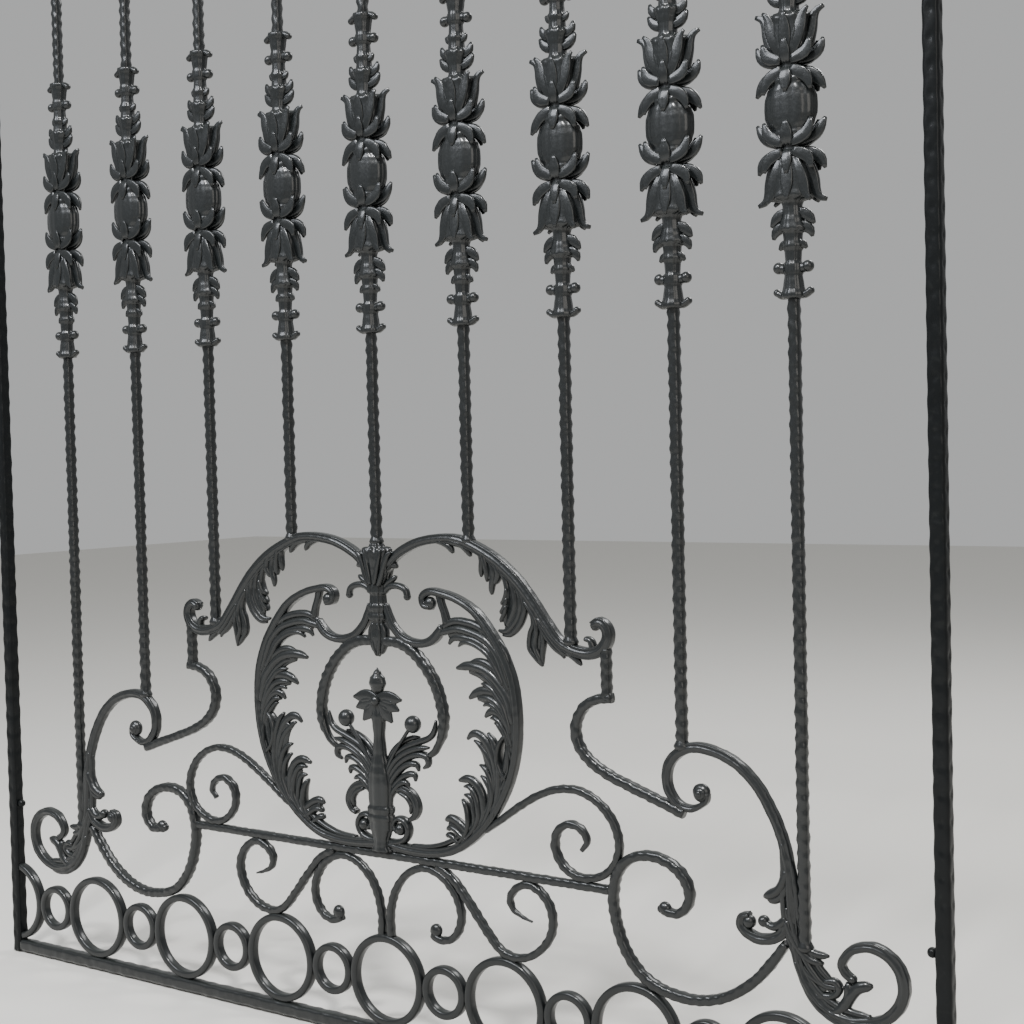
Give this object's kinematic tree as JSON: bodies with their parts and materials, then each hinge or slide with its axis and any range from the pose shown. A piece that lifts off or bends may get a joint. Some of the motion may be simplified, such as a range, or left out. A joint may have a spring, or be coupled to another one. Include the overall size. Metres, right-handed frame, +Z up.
{
  "type": "window grille",
  "caption": "Flat wrought-iron window grille: hammered bars with cast leaf ornaments over a scrollwork crest, an oval with a flower, and a row of rings, held between two posts",
  "frame": {"origin": "on the outer flat face of the left post, at mid height, in the grille's middle plane", "axes": "+X along the grille from the left post to the right one, +Z up, -Y towards the street side that the picture shows"},
  "size_m": [1.332, 0.03, 1.5],
  "materials": {
    "hammered_iron": "satin black paint over hammer dents",
    "smooth_iron": "satin black paint",
    "cast_leaves": "satin black paint over ribbed castings"
  },
  "bodies": {
    "root": {"arch_scroll_left": "hammered_iron", "arch_scroll_right": "hammered_iron", "bar_1": "hammered_iron", "bar_2": "hammered_iron", "bar_3": "hammered_iron", "bar_4": "hammered_iron", "bar_5": "hammered_iron", "bar_6": "hammered_iron", "bar_7": "hammered_iron", "bar_8": "hammered_iron", "bar_9": "hammered_iron", "bar_ornament_1": "cast_leaves", "bar_ornament_2": "cast_leaves", "bar_ornament_3": "cast_leaves", "bar_ornament_4": "cast_leaves", "bar_ornament_5": "cast_leaves", "bar_ornament_6": "cast_leaves", "bar_ornament_7": "cast_leaves", "bar_ornament_8": "cast_leaves", "bar_ornament_9": "cast_leaves", "bottom_rail": "hammered_iron", "centre_casting": "cast_leaves", "centre_flower": "cast_leaves", "crest_left": "cast_leaves", "crest_right": "cast_leaves", "cross_bar": "hammered_iron", "hook_scroll_left": "hammered_iron", "hook_scroll_right": "hammered_iron", "inner_ring_left": "hammered_iron", "inner_ring_right": "hammered_iron", "left_post": "hammered_iron", "link_bar_left": "hammered_iron", "link_bar_right": "hammered_iron", "outer_scroll_left": "hammered_iron", "outer_scroll_right": "hammered_iron", "oval_left": "cast_leaves", "oval_right": "cast_leaves", "right_post": "hammered_iron", "ring_row": "smooth_iron", "side_scroll_left": "hammered_iron", "side_scroll_right": "hammered_iron", "spiral_left": "hammered_iron", "spiral_right": "hammered_iron", "top_rail": "hammered_iron"}
  },
  "joints": []
}
